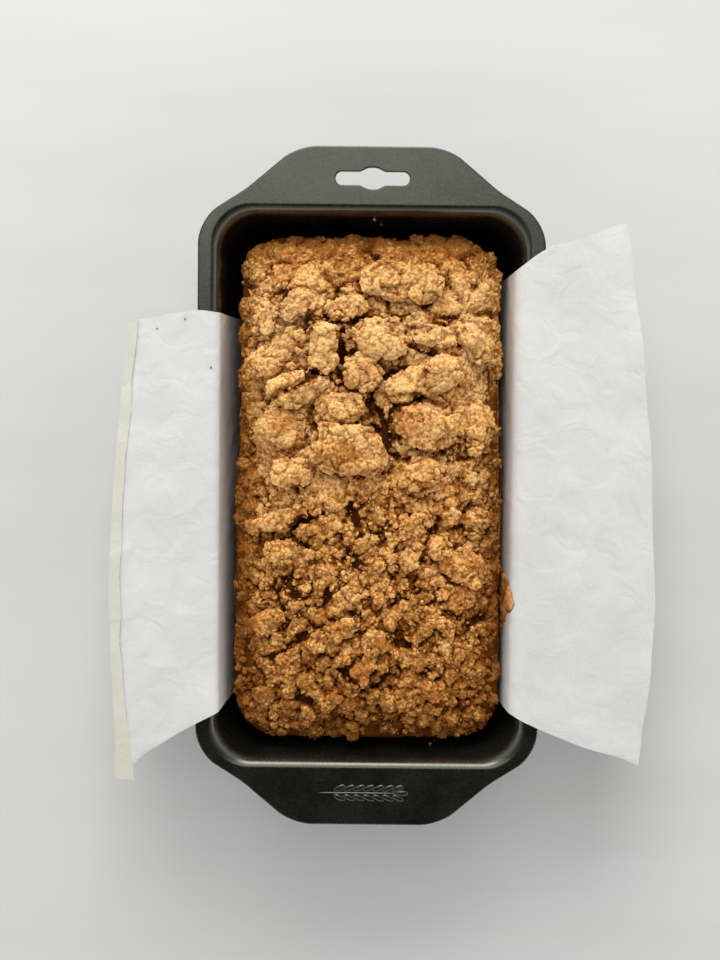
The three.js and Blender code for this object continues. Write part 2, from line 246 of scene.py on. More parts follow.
TIN_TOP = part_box("loaf_tin")[1].z
RIM_HALF_X, RIM_HALF_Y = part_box("loaf_tin")[1].x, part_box("loaf_tin")[1].y
SHEET = 0.8 * MM
HANDLE_ROOT_Y = 111.3 * MM
HANDLE_FLANK = (52 * MM, 124 * MM)
HANDLE_END_HALF_X = 31 * MM
EDGE_TURN = 0.9 * MM
EDGE_DROP = 3 * MM
MOUTH = (65.2 * MM, 116.2 * MM, 16 * MM)  # half sizes and corner radius
STEP = (62.7 * MM, 113.7 * MM)
STEP_DEPTH = 3.8 * MM
BASE = (54.1 * MM, 105.1 * MM)
SLOT_Y = 128.5 * MM
SLOT_HALF = (15.3 * MM, 2.75 * MM)
SLOT_EYE = (5.2 * MM, 1.8 * MM, 4.4 * MM)  # half width at its foot and its top, and half height
SLOT_ENDS = 0.99  # the share of the slot's half height that its ends are rounded by
SLOT_FOOT_ROUND = 0.5 * MM
SLOT_TOP_ROUND = 0.9 * MM
SLOT_LIP = (1.06, 1.2)  # how much wider and higher the flat lip round the slot is
AROUND_SLOT = (20 * MM, 5 * MM, SLOT_Y)  # half sizes and middle of the place that holds the slot
MOUTH_RING = 2.1 * MM
RIM_RADII = (18 * MM, 40 * MM, 22 * MM)
MOUTH_BEND = 1.95 * MM
STEP_BEND = 1.4 * MM
BASE_BEND = 6.1 * MM
EDGE_BEND = 0.5 * MM
SLOT_BEND = 0.3 * MM


def pick(piece, kind, wanted):
    """In edit mode, selects only the verts, edges or faces that pass a test of (it, its middle)."""
    bpy.ops.mesh.select_mode(type={"verts": "VERT", "edges": "EDGE", "faces": "FACE"}[kind])
    bpy.ops.mesh.select_all(action="DESELECT")
    shape = bmesh.from_edit_mesh(piece.data)
    for item in getattr(shape, kind):
        corners = [item] if kind == "verts" else item.verts
        middle = sum((corner.co for corner in corners), Vector()) / len(corners)
        item.select_set(bool(wanted(item, middle)))
    shape.select_flush_mode()
    bmesh.update_edit_mesh(piece.data)


def round_corners(piece, x, y, tangent, segments=10, around=0.0):
    """Rounds a flat outline's four corners at (+-x, around +-y), from a tangent before each."""
    pick(piece, "verts", lambda _, m: math.hypot(abs(m.x) - x, abs(m.y - around) - y) < 0.1 * MM)
    bpy.ops.mesh.bevel(offset=tangent, offset_type="OFFSET", segments=segments, affect="VERTICES")


def stretch(x, y, around=0.0):
    """Resizes what is selected, seen from above, about a place on the tin's middle line."""
    bpy.ops.transform.resize(value=(x, y, 1), center_override=(0, around, 0))


def draw_out(x=0.0, y=0.0, z=0.0):
    """Extrudes what is selected by that much."""
    bpy.ops.mesh.extrude_region_move(TRANSFORM_OT_translate={"value": (x, y, z)})


def at_rim(middle, x=1.0, y=1.0, around=0.0):
    """Whether a place is at the rim's height, and within x and y of a place on the middle line."""
    return middle.z > TIN_TOP - 0.05 * MM and abs(middle.x) < x and abs(middle.y - around) < y


def drop(edge):
    """How far below an edge the middle of its lowest face is."""
    return max(edge.verts[0].co.z - face.calc_center_median().z for face in edge.link_faces)


def bend(wanted, size, segments):
    """Rounds the edges picked by a test of (edge, its middle)."""
    pick(tin, "edges", lambda edge, m: not edge.is_boundary and wanted(edge, m))
    bpy.ops.mesh.bevel(offset=size, segments=segments, affect="EDGES")


def level_at(edge, height):
    """Whether both ends of an edge are at a height."""
    return all(abs(end.co.z - height) < 0.01 * MM for end in edge.verts)


# The flat rim with its two handles, from a plate drawn out at both ends.
bpy.ops.object.select_all(action="DESELECT")
bpy.ops.mesh.primitive_plane_add(size=2, location=(0, 0, TIN_TOP))
tin = bpy.context.object
tin.name = "coated_loaf_tin"
tin.scale = (RIM_HALF_X, HANDLE_ROOT_Y, 1)
bpy.ops.object.transform_apply()
bpy.ops.object.mode_set(mode="EDIT")
for end in (1, -1):
    pick(tin, "edges", lambda _, m: m.y * end > HANDLE_ROOT_Y - MM)
    draw_out(y=end * (HANDLE_FLANK[1] - HANDLE_ROOT_Y))
    stretch(HANDLE_FLANK[0] / RIM_HALF_X, 1)
    draw_out(y=end * (RIM_HALF_Y - HANDLE_FLANK[1]))
    stretch(HANDLE_END_HALF_X / HANDLE_FLANK[0], 1)
pick(tin, "faces", lambda *_: True)
bpy.ops.mesh.dissolve_faces()
outline = [Vector(at) for at in ((RIM_HALF_X, 0), (RIM_HALF_X, HANDLE_ROOT_Y), HANDLE_FLANK,
                                 (HANDLE_END_HALF_X, RIM_HALF_Y), (0, RIM_HALF_Y))]
for before, corner, after, radius in zip(outline, outline[1:], outline[2:], RIM_RADII):
    turn = (corner - before).angle(after - corner)
    round_corners(tin, *corner, radius * math.tan(turn / 2))
pick(tin, "faces", lambda *_: True)
bpy.ops.mesh.inset(thickness=EDGE_TURN)
bpy.ops.mesh.delete(type="ONLY_FACE")
pick(tin, "edges", lambda edge, m: edge.is_boundary and any(
    (m - face.calc_center_median()).xy.dot(m.xy) > 0 for face in edge.link_faces))
draw_out(z=-EDGE_DROP)

# The slot in the far handle, a strip with a narrow tab drawn out of the middle of each side.
bpy.ops.mesh.primitive_plane_add(size=2, location=(0, SLOT_Y, TIN_TOP))
stretch(SLOT_HALF[0], SLOT_HALF[1], SLOT_Y)
bpy.ops.mesh.subdivide(number_cuts=2)
pick(tin, "verts", lambda _, m: at_rim(m, SLOT_HALF[0] / 2, SLOT_HALF[1] * 2, SLOT_Y))
stretch(3 * SLOT_EYE[0] / SLOT_HALF[0], 1, SLOT_Y)
for side in (1, -1):
    pick(tin, "edges", lambda _, m: (
        at_rim(m, MM, 5 * MM, SLOT_Y) and side * (m.y - SLOT_Y) > 0.9 * SLOT_HALF[1]))
    draw_out(y=side * (SLOT_EYE[2] - SLOT_HALF[1]))
    stretch(SLOT_EYE[1] / SLOT_EYE[0], 1, SLOT_Y)
pick(tin, "faces", lambda _, m: at_rim(m, *AROUND_SLOT))
bpy.ops.mesh.dissolve_faces()
bpy.ops.mesh.dissolve_limited(angle_limit=math.radians(1))
round_corners(tin, SLOT_HALF[0], SLOT_HALF[1], SLOT_ENDS * SLOT_HALF[1], 6, SLOT_Y)
round_corners(tin, SLOT_EYE[0], SLOT_HALF[1], SLOT_FOOT_ROUND, 3, SLOT_Y)
round_corners(tin, SLOT_EYE[1], SLOT_EYE[2], SLOT_TOP_ROUND, 4, SLOT_Y)
pick(tin, "faces", lambda _, m: at_rim(m, *AROUND_SLOT))
bpy.ops.mesh.delete(type="ONLY_FACE")
pick(tin, "edges", lambda edge, _: edge.is_wire)
draw_out(z=-SHEET)
pick(tin, "edges", lambda edge, m: edge.is_boundary and at_rim(m, *AROUND_SLOT))
draw_out()
stretch(*SLOT_LIP, SLOT_Y)

# The tub, from its mouth over the step and down to the base, with a flat ring round its mouth.
bpy.ops.mesh.primitive_plane_add(size=2, location=(0, 0, TIN_TOP))
stretch(MOUTH[0], MOUTH[1])
round_corners(tin, MOUTH[0], MOUTH[1], MOUTH[2], 14)
pick(tin, "faces", lambda _, m: at_rim(m, MM, MM))
bpy.ops.mesh.delete(type="ONLY_FACE")
pick(tin, "edges", lambda edge, _: edge.is_wire)
draw_out(z=-STEP_DEPTH)
stretch(STEP[0] / MOUTH[0], STEP[1] / MOUTH[1])
draw_out(z=SHEET + STEP_DEPTH - TIN_TOP)
stretch(BASE[0] / STEP[0], BASE[1] / STEP[1])
bpy.ops.mesh.edge_face_add()
pick(tin, "edges", lambda edge, m: edge.is_boundary and at_rim(m) and drop(edge) > MM)
draw_out()
stretch(1 + MOUTH_RING / MOUTH[0], 1 + MOUTH_RING / MOUTH[1])

# The flat sheet between rim, slot and mouth, and then every bend.
pick(tin, "edges", lambda edge, m: edge.is_boundary and at_rim(m))
bpy.ops.mesh.fill(use_beauty=True)
bend(lambda edge, m: at_rim(m) and drop(edge) > 0.45 * STEP_DEPTH, MOUTH_BEND, 7)
bend(lambda edge, m: level_at(edge, TIN_TOP - STEP_DEPTH), STEP_BEND, 4)
bend(lambda edge, m: level_at(edge, SHEET), BASE_BEND, 7)
bend(lambda edge, m: at_rim(m) and drop(edge) > 0.45 * EDGE_DROP, EDGE_BEND, 3)
bend(lambda edge, m: at_rim(m, *AROUND_SLOT) and drop(edge) > 0.45 * SHEET, SLOT_BEND, 3)
bpy.ops.mesh.select_all(action="SELECT")
bpy.ops.mesh.remove_doubles(threshold=0.005 * MM)
bpy.ops.mesh.normals_make_consistent(inside=False)
bpy.ops.object.mode_set(mode="OBJECT")
sheet_wall = tin.modifiers.new("sheet", "SOLIDIFY")
sheet_wall.thickness = SHEET
sheet_wall.offset = -1
only(tin)
bpy.ops.object.modifier_apply(modifier="sheet")
bpy.ops.object.shade_smooth_by_angle(angle=math.radians(35))

COATING_DARK = (0.0040, 0.0041, 0.0032)
COATING_LIGHT = (0.0080, 0.0082, 0.0064)

coating, tree, shader, where = new_material("non_stick_coating")
specks = cloud(tree, where, 900.0, 3.0, Roughness=0.7)
patch = blend(tree, cloud(tree, where, 60.0, 4.0), specks, 0.5)
coating_colour = mix(tree, level(tree, patch, 0.38, 0.62), COATING_DARK, COATING_LIGHT)
tree.links.new(coating_colour, shader.inputs["Base Color"])
tree.links.new(level(tree, patch, 0.35, 0.65, 0.20, 0.32), shader.inputs["Roughness"])
tree.links.new(bump(tree, specks, 0.25, 0.12 * MM), shader.inputs["Normal"])
shader.inputs["IOR"].default_value = 1.75
shader.inputs["Specular Tint"].default_value = (1.0, 1.0, 0.80, 1)
tin.data.materials.append(coating)

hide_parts("loaf_tin")
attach(tin, "root")

# A plain ear of wheat stands out of the near handle, pressed into the sheet: a stem, two rows
# of grains and one at the tip.
EAR_AT = Vector((-3.3 * MM, -128.1 * MM, TIN_TOP))
EAR_LENGTH = 35 * MM
EAR_RISE = 0.42 * MM
EAR_STEM_HALF = 0.45 * MM
GRAIN_HALF = (2.7 * MM, 1.15 * MM)
GRAIN_ASIDE = 2.05 * MM
GRAIN_PAIRS = 7
GRAINS_FROM = -0.22  # where the pairs start, and over how much they spread, in ear lengths
GRAINS_OVER = 0.7
GRAIN_LEAN = math.radians(24)

seeds = [(0, 0, 0, EAR_LENGTH / 2, EAR_STEM_HALF)]
seeds.append((EAR_LENGTH / 2 + GRAIN_HALF[0] * 0.4, 0, 0, *GRAIN_HALF))
for i in range(GRAIN_PAIRS):
    along = GRAINS_FROM * EAR_LENGTH + i * GRAINS_OVER * EAR_LENGTH / (GRAIN_PAIRS - 1)
    for side in (1, -1):
        seeds.append((along, side * GRAIN_ASIDE, side * GRAIN_LEAN, *GRAIN_HALF))
grains = []
for along, aside, lean, half_length, half_width in seeds:
    bpy.ops.mesh.primitive_uv_sphere_add(segments=16, ring_count=10, radius=1, rotation=(0, 0, lean),
                                         location=EAR_AT + Vector((along, aside, 0)),
                                         scale=(half_length, half_width, EAR_RISE))
    grains.append(bpy.context.object)
only(*grains)
bpy.ops.object.join()
ear = bpy.context.object
ear.name = "pressed_wheat_ear"
bpy.ops.object.transform_apply()
bpy.ops.object.shade_smooth()
ear.data.materials.append(coating)
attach(ear, "root")


# ---- Parchment ----------------------------------------------------------------------------
# A strip of white baking parchment laid across the tub before filling. It lies against the
# walls and hangs out over both long sides, folded sharply over the left rim and in a soft
# bend over the right one. Its outer edge on the left is folded back on itself and yellowed.

PAPER = 0.12 * MM
FOLD_BACK = 4.5 * MM
FOLD_BACK_AT_END = 3.2 * MM  # how much wider it is at the near end
FOLD_STRAYS = 1.6 * MM  # how far its cut edge strays, and over what length
FOLD_STRAY_LENGTH = 15 * MM
FOLD_WIDENS_FROM = -90 * MM  # where it starts to widen, and over what length
FOLD_WIDENS_OVER = 28 * MM
FOLD_RISE = 0.21  # how far it stands off the flap, as a share of its width
FOLD_EDGE = (0.1 * MM, 0, 0.25 * MM)  # the turn of the paper at the fold itself
FLAP_FROM = 66 * MM  # where the strip leaves the rim, and over what length it gets loose
FLAP_LOOSE_OVER = 12 * MM
OVER_RIM = 0.7 * MM  # how high it rides over the rim, and how far that reaches
OVER_RIM_REACH = 10 * MM
OVER_RIM_ABOVE = 64 * MM  # which stretch that is: higher than this and further in than that
OVER_RIM_WITHIN = 76 * MM
LEFT_EDGE_BEYOND = -98 * MM
TUGS = [  # where the cut edge strays: a place, how far it goes, and over what distance
    ((106, 106), (1, 4), 26),
    ((113, -56), (2.4, 0), 44),
    ((114, -88), (2.0, 0), 30),
    ((107, -117), (2.4, 1), 20),
    ((112, 38), (-1.2, 0), 24),
    ((-106, -118), (-1, -5), 14),
    ((-67, -94), (0.4, 0, 1.6), 22),
]
WAVES = [  # name, kind, size and height
    ("swell", "CLOUDS", 42 * MM, 3.0 * MM),
    ("creases", "VORONOI", 26 * MM, 1.3 * MM),
    ("crackle", "CLOUDS", 7 * MM, 0.8 * MM),
]


def note(mesh, name, values):
    """Keeps a value for each corner of a mesh, for its material to read."""
    mesh.attributes.new(name, "FLOAT", "POINT").data.foreach_set("value", values)


def shift(move, reach):
    """Moves what is selected, and what is joined to it and lies within reach by less and less."""
    bpy.ops.transform.translate(value=move, use_proportional_edit=True, use_proportional_connected=True,
                                proportional_edit_falloff="SMOOTH", proportional_size=reach)


def tug(at, move, reach):
    """Moves the strip's corner nearest to a place seen from above, with what lies round it."""
    nearest = min(strip.data.vertices, key=lambda vertex: (vertex.co.xy - at).length - vertex.co.z)
    pick(strip, "verts", lambda vertex, _: vertex.index == nearest.index)
    shift(move, reach)
    bpy.ops.object.mode_set(mode="OBJECT")
    bpy.ops.object.mode_set(mode="EDIT")


def is_underside(face, middle):
    """Whether a face is on the strip's outer side or its cut edge, and not on the side of the loaf."""
    inwards = Vector((-0.5 * math.copysign(1, middle.x), 0, 1)).normalized()
    return face.normal.dot(inwards) < 0.2


def is_left_edge(edge, middle):
    """Whether an edge is on the cut edge that runs along the left flap."""
    first, second = (corner.co for corner in edge.verts)
    lengthwise = abs(first.y - second.y) > 2 * abs(first.x - second.x)
    return edge.is_boundary and middle.x < LEFT_EDGE_BEYOND and lengthwise


strip = copy_of("parchment", "parchment_strip")
bpy.ops.object.mode_set(mode="EDIT")
pick(strip, "faces", is_underside)
bpy.ops.mesh.delete(type="FACE")
bpy.ops.mesh.select_all(action="SELECT")
bpy.ops.mesh.tris_convert_to_quads(face_threshold=math.pi, shape_threshold=math.pi)
bpy.ops.object.mode_set(mode="OBJECT")
subdivided = strip.modifiers.new("fine", "SUBSURF")
subdivided.levels = subdivided.render_levels = 3
subdivided.boundary_smooth = "PRESERVE_CORNERS"
bpy.ops.object.modifier_apply(modifier="fine")

# The cut edge strays a little, the paper rides over the rim, and its outer edge is folded back.
bpy.ops.object.mode_set(mode="EDIT")
for place, move, reach in TUGS:
    tug(Vector(place) * MM, Vector((*move, 0)[:3]) * MM, reach * MM)
pick(strip, "verts", lambda _, m: m.z > OVER_RIM_ABOVE and abs(m.x) < OVER_RIM_WITHIN)
shift((0, 0, OVER_RIM), OVER_RIM_REACH)
bpy.ops.object.mode_set(mode="OBJECT")
one_layer = len(strip.data.vertices)
bpy.ops.object.mode_set(mode="EDIT")
pick(strip, "edges", is_left_edge)
draw_out(*FOLD_EDGE)
draw_out(x=FOLD_BACK, z=FOLD_RISE * FOLD_BACK)
bpy.ops.object.mode_set(mode="OBJECT")
rows = strip.data.vertices[one_layer:]
for vertex in rows:
    outer = min(other.co.x for other in rows if abs(other.co.y - vertex.co.y) < MM)
    if vertex.co.x - outer > 0.5 * FOLD_BACK:
        widened = min(1, max(0, (FOLD_WIDENS_FROM - vertex.co.y) / FOLD_WIDENS_OVER))
        vertex.co.x += FOLD_BACK_AT_END * widened
        vertex.co.x += FOLD_STRAYS * noise.noise(vertex.co / FOLD_STRAY_LENGTH)
note(strip.data, "folded", [float(vertex.index >= one_layer) for vertex in strip.data.vertices])
loose = strip.vertex_groups.new(name="loose")
for vertex in strip.data.vertices:
    looseness = min(1, max(0, (abs(vertex.co.x) - FLAP_FROM) / FLAP_LOOSE_OVER))
    loose.add([vertex.index], looseness, "REPLACE")
for name, kind, size, height in WAVES:
    texture = bpy.data.textures.new(f"paper_{name}", kind)
    texture.noise_scale = size
    if kind == "VORONOI":
        texture.weight_1, texture.weight_2 = -1, 1
    wave = strip.modifiers.new(name, "DISPLACE")
    wave.texture = texture
    wave.strength = height
    wave.mid_level = 0.5 if kind == "CLOUDS" else 0.2
    wave.direction = "Z"
    wave.vertex_group = "loose"
    bpy.ops.object.modifier_apply(modifier=name)
thin = strip.modifiers.new("paper", "SOLIDIFY")
thin.thickness = PAPER
thin.offset = -1
bpy.ops.object.modifier_apply(modifier="paper")
bpy.ops.object.shade_smooth_by_angle(angle=math.radians(40))

PAPER_WHITE = (0.70, 0.69, 0.665)
PAPER_GREY = (0.63, 0.62, 0.595)
PAPER_YELLOWED = (0.955, 0.93, 0.80)  # how much of its own colour the folded edge keeps

baking_paper, tree, shader, where = new_material("baking_parchment")
stretched = add_node(tree, "ShaderNodeMapping", {"Vector": where, "Scale": (1, 3.5, 1)})
fibres = cloud(tree, stretched.outputs[0], 1100.0, 3.0)
patch = blend(tree, cloud(tree, where, 26.0, 6.0, Roughness=0.6), fibres, 0.65)
paper_colour = mix(tree, level(tree, patch, 0.4, 0.62), PAPER_WHITE, PAPER_GREY)
yellow_edge = add_node(tree, "ShaderNodeAttribute", attribute_name="folded").outputs["Fac"]
yellowed = mix(tree, yellow_edge, (1, 1, 1), PAPER_YELLOWED)
tinted = add_node(tree, "ShaderNodeVectorMath", {0: paper_colour, 1: yellowed}, operation="MULTIPLY")
tree.links.new(tinted.outputs[0], shader.inputs["Base Color"])
tree.links.new(level(tree, patch, 0.35, 0.65, 0.42, 0.6), shader.inputs["Roughness"])
crinkles = cloud(tree, where, 85.0, 4.0, Distortion=0.8)
crinkled = bump(tree, crinkles, 0.4, 2.2 * MM, Normal=bump(tree, fibres, 0.3, 0.1 * MM))
tree.links.new(crinkled, shader.inputs["Normal"])
strip.data.materials.append(baking_paper)
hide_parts("parchment")
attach(strip, "root")


# ---- Loaf ---------------------------------------------------------------------------------
# The baked batter under the crumbs: a tall block with rounded corners and a domed top, whose
# brown crust shows as a narrow band between the crumbs and the paper or the tin.

def soften(piece, voxel, rounds):
    """Gives a piece even small faces all over and smooths the facets out of it."""
    even = piece.modifiers.new("even", "REMESH")
    even.mode = "VOXEL"
    even.voxel_size = voxel
    even.use_smooth_shade = True
    soft = piece.modifiers.new("soft", "SMOOTH")
    soft.iterations = rounds
    only(piece)
    bpy.ops.object.modifier_apply(modifier="even")
    bpy.ops.object.modifier_apply(modifier="soft")


def roughen(piece, hollows):
    """Sinks the surface here and there by cloudy hollows of (size, depth)."""
    for i, (size, depth) in enumerate(hollows):
        texture = bpy.data.textures.new(f"{piece.name}_swell_{i}", "CLOUDS")
        texture.noise_scale = size
        swell = piece.modifiers.new("swell", "DISPLACE")
        swell.texture = texture
        swell.strength = depth
        swell.mid_level = 1
        bpy.ops.object.modifier_apply(modifier="swell")


def draw_in(piece):
    """Narrows a piece towards its far end, where the loaf shrank most as it cooled."""
    for vertex in piece.data.vertices:
        far = min(1, max(0, vertex.co.y / SHRUNK_OVER))
        vertex.co.x *= 1 - NARROWER * far * (2 - far)
        vertex.co.y -= SHORTER * far ** 4


SHRUNK_OVER = 80 * MM
NARROWER = 0.038
SHORTER = 1.5 * MM
LOAF_CELL = 1.5 * MM
SHOULDER = 49.5 * MM
CROWN_KEPT = 0.72  # how much of its height over the shoulder the crust keeps under the crumbs
LOAF_HOLLOWS = [(14 * MM, 1.2 * MM), (4 * MM, 0.7 * MM)]

loaf = copy_of("loaf", "apple_loaf")
soften(loaf, LOAF_CELL, 12)
bpy.ops.object.mode_set(mode="EDIT")
pick(loaf, "verts", lambda _, m: m.z > SHOULDER)
bpy.ops.transform.resize(value=(1, 1, CROWN_KEPT), center_override=(0, 0, SHOULDER))
bpy.ops.object.mode_set(mode="OBJECT")
draw_in(loaf)
roughen(loaf, LOAF_HOLLOWS)

CRUST_DARK = (0.055, 0.016, 0.003)
CRUST_BROWN = (0.14, 0.046, 0.008)
CRUST_GOLD = (0.29, 0.115, 0.026)

loaf_crust, tree, shader, where = new_material("loaf_crust")
pores = cloud(tree, where, 700.0, 3.0, Roughness=0.65)
patch = blend(tree, cloud(tree, where, 110.0, 5.0), pores, 0.6)
crust_colour = ramp(tree, patch, [(0.36, CRUST_DARK), (0.5, CRUST_BROWN), (0.68, CRUST_GOLD)])
tree.links.new(crust_colour, shader.inputs["Base Color"])
tree.links.new(level(tree, patch, 0.3, 0.7, 0.6, 0.85), shader.inputs["Roughness"])
tree.links.new(bump(tree, pores, 0.5, 0.8 * MM), shader.inputs["Normal"])
shader.inputs["Specular IOR Level"].default_value = 0.15
loaf.data.materials.append(loaf_crust)
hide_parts("loaf")
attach(loaf, "root")


# ---- Crumb topping ------------------------------------------------------------------------
# Streusel of flour, butter and brown sugar, strewn on by hand and baked to a crust. It has run
# together into clumps with deep dark creases between them, larger in the loaf's far half, and
# each clump is made of small knobs of sugary dough.

TOPPING_CELL = 0.62 * MM
FAR_CLUMP = 14 * MM
NEAR_CLUMP = 7.8 * MM
SMALL_CLUMP = 4.6 * MM
CLUMP_DEPTH = 2.3 * MM
SMALL_CLUMP_DEPTH = 1.15 * MM
FAR_LIFT = 0.7 * MM
THIN_BELOW = 52 * MM  # the crumbs lie thinner towards the edge, which lies lower
THICK_OVER = 12 * MM
SINKS_IN_THIN = 1.5 * MM  # how far a place may sink, and how much further where they lie thick
SINKS_MORE_IN_THICK = 2.6 * MM
MOAT = 2.0 * MM  # the dip round each large crumb
MOAT_DEPTH = 0.9 * MM
KNOBS = [(2.4 * MM, 0.7 * MM), (1.35 * MM, 0.35 * MM)]  # size and height
KNOB_CREASE_SHADE = 1.5  # how much deeper than it is a crease between knobs counts, for its painted shade
STEEP_SHADE_DEPTH = 0.7 * MM  # and how deep a steep place counts, which gives steep sides painted shade
CRACK_WIDTH = 1.8 * MM
CRACK_DEPTH = 3.0 * MM
CRACK_WANDERS = (8 * MM, 2.2 * MM)  # over what length, and how far
CRACK_STEPS = 40
CRACKS = [  # routes of the deepest cracks, in mm from the loaf's middle
    [(-2, 38), (5, 33), (7, 19), (11, 14)],
    [(12, 40), (23, 38), (34, 33)],
    [(16, 60), (26, 57)],
    [(-12, 66), (-12, 48)],
    [(-23, 49), (-35, 40), (-44, 36)],
    [(-24, 34), (-23, 21)],
    [(-8, -7), (-4, -20), (-5, -31)],
    [(-32, -15), (-19, -10)],
    [(27, -16), (24, -28)],
    [(-12, -76), (0, -84), (9, -77)],
    [(-43, -72), (-33, -68), (-28, -61)],
    [(8, -63), (18, -66)],
    [(-30, -46), (-36, -38)],
]

noise.seed_set(3)  # keeps the crumbs the same at every run


def wandering(at, size, amount):
    """A place moved aside by smooth noise of a size, so that cells lose their straight sides."""
    return at + amount * noise.noise_vector(at / size)


def knob(at, size):
    """1 at the top of each rounded knob of about a size, down to 0 in the creases between them."""
    near, next_near = noise.voronoi(at / size)[0][:2]
    return 1 - (1 - min(1, 1.6 * (next_near - near))) ** 2


def clump(at, size):
    """Clumps of about a size with narrow creases between them, from -1 in a crease to 0.6 on top."""
    distances, points = noise.voronoi(wandering(at, size, 0.4 * size) / size)
    inside = min(1, 3.4 * (distances[1] - distances[0]))
    together = min(1, max(0, 0.75 + 1.6 * noise.noise(at / size)))  # some clumps have run together
    return together * (inside * (2 - inside) - 1) + 0.6 * noise.cell(points[0] * 7.3)


def crack(at):
    """How far the cracks that opened in baking sink a place."""
    spot = wandering(at, *CRACK_WANDERS)
    away = crack_places.find(Vector((spot.x, spot.y, 0)))[2]
    return CRACK_DEPTH * max(0, 1 - (away / CRACK_WIDTH) ** 2)


crack_places = KDTree(CRACK_STEPS * sum(len(route) - 1 for route in CRACKS))
for route in CRACKS:
    for start, end in zip(route, route[1:]):
        for i in range(CRACK_STEPS):
            along = Vector((*start, 0)).lerp(Vector((*end, 0)), i / (CRACK_STEPS - 1))
            crack_places.insert(MM * along, i)
crack_places.balance()


def far_half(y):
    """1 over the loaf's far half and 0 over its near half, with a gradual change."""
    return min(1, max(0, 0.55 + y / (60 * MM)))


def knob_rise(size, height):
    """How knobs of a size and height lift or sink a place, as a function of that place."""
    return lambda at: height * (knob(wandering(at, size, 0.25 * size), size) - 0.6)


def shape_crumbs(piece, clumps, knobs, tone=0.0):
    """Raises clumps and knobs on a piece, and notes how deep each place lies, for its painted shade, and
    its tone.
    """
    mesh = piece.data
    steps = [clumps] + [knob_rise(size, height) for size, height in knobs]
    deep = np.zeros(len(mesh.vertices))
    for rise_at in steps:
        rises = [rise_at(vertex.co) for vertex in mesh.vertices]
        places = [vertex.co + rise * vertex.normal for vertex, rise in zip(mesh.vertices, rises)]
        mesh.vertices.foreach_set("co", np.array(places).ravel())
        mesh.update()
        deep -= np.array(rises) * (1 if rise_at is clumps else KNOB_CREASE_SHADE)
    # The crease note sets the painted shade: deep places, and steep ones, come out darker.
    steep = [STEEP_SHADE_DEPTH * (1 - max(0, vertex.normal.z)) for vertex in mesh.vertices]
    note(mesh, "crease", (deep + steep) / MM)
    note(mesh, "tone", [tone] * len(mesh.vertices))


def tree_over(pieces):
    """A tree of the faces of some pieces, to find what lies near or below a place."""
    shape = bmesh.new()
    for piece in pieces:
        shape.from_mesh(piece.data)
    found = BVHTree.FromBMesh(shape)
    shape.free()
    return found


def topping_rise(at):
    """How far clumps, cracks and the dip round each large crumb lift or sink the topping."""
    far = far_half(at.y)
    lift = CLUMP_DEPTH * (far * clump(at, FAR_CLUMP) + (1 - far) * clump(at, NEAR_CLUMP))
    lift += SMALL_CLUMP_DEPTH * clump(at, SMALL_CLUMP)
    away = lumps_tree.find_nearest(at, MOAT)[3]
    dip = 0 if away is None else MOAT_DEPTH * (1 - away / MOAT)
    thick = min(1, max(0, (at.z - THIN_BELOW) / THICK_OVER))
    lowest = -SINKS_IN_THIN - SINKS_MORE_IN_THICK * thick
    return max(FAR_LIFT * far + lift - dip - crack(at), lowest)


lump_nodes = {name: node for name, node in frame["nodes"].items() if name.startswith("large_crumb_")}
lumps_tree = tree_over(lump_nodes.values())
topping = copy_of("crumb_topping", "baked_crumb_topping")
soften(topping, TOPPING_CELL, 20)

# The side that lies on the loaf stays out of sight, so it has few faces.
bpy.ops.object.mode_set(mode="EDIT")
pick(topping, "faces", lambda face, _: face.normal.z < -0.3)
bpy.ops.mesh.decimate(ratio=0.05)
bpy.ops.object.mode_set(mode="OBJECT")
draw_in(topping)
shape_crumbs(topping, topping_rise, KNOBS)

# What the dough looks like: pale to golden brown, toasted darker in patches, with a sugary grain.
# It is darker towards the loaf's edges and its near end, partly toasted crust and partly painted
# shade, with painted shade over its near half and far end and painted light over its far half. The
# creases are deep brown, partly the dough's own colour and partly painted shade, and painted shade
# lines the sugar grains.
TOASTED = (0.33, 0.122, 0.024)
GOLDEN_BROWN = (0.50, 0.225, 0.056)
GOLDEN = (0.78, 0.39, 0.112)
PALE = (0.94, 0.57, 0.22)
SCORCHED = (0.58, 0.19, 0.04)
SCORCHED_AT = [(-8, 14), (-36, 27), (-4, -75), (18, 29), (38, -47)]  # in mm, seen from above
SCORCHED_RAGGED = 22 * MM
SCORCHED_RADII = (19 * MM, 12 * MM)  # where they end and where they are full, with the ragging
# In the creases: deep brown, partly the dough's own colour and partly painted shade, and near black
# painted shade in the deepest ones.
CREASE_BROWN_AND_SHADE = (0.28, 0.078, 0.005)
CREASE_SHADE = (0.055, 0.014, 0.002)

look = bpy.data.node_groups.new("toasted_and_shaded_dough", "ShaderNodeTree")
for way, sockets in (("INPUT", {"Where": "Vector", "Crease": "Float", "Tone": "Float"}),
                     ("OUTPUT", {"Color": "Color", "Roughness": "Float", "Height": "Float"})):
    for name, kind in sockets.items():
        look.interface.new_socket(name, in_out=way, socket_type=f"NodeSocket{kind}")
given = add_node(look, "NodeGroupInput").outputs
where = given["Where"]
mottle = cloud(look, where, 330.0, 4.0, Roughness=0.6)
bent = add_node(look, "ShaderNodeTexNoise", {"Vector": where, "Scale": 420.0, "Detail": 1.0})
bent = add_node(look, "ShaderNodeVectorMath", {0: bent.outputs["Color"], 3: 1.6 * MM}, operation="SCALE")
bent = add_node(look, "ShaderNodeVectorMath", {0: bent.outputs[0], 1: where})
sugar = add_node(look, "ShaderNodeTexVoronoi", {"Vector": bent.outputs[0], "Scale": 700.0})
sugar = sugar.outputs["Distance"]
place = add_node(look, "ShaderNodeSeparateXYZ", {"Vector": where}).outputs
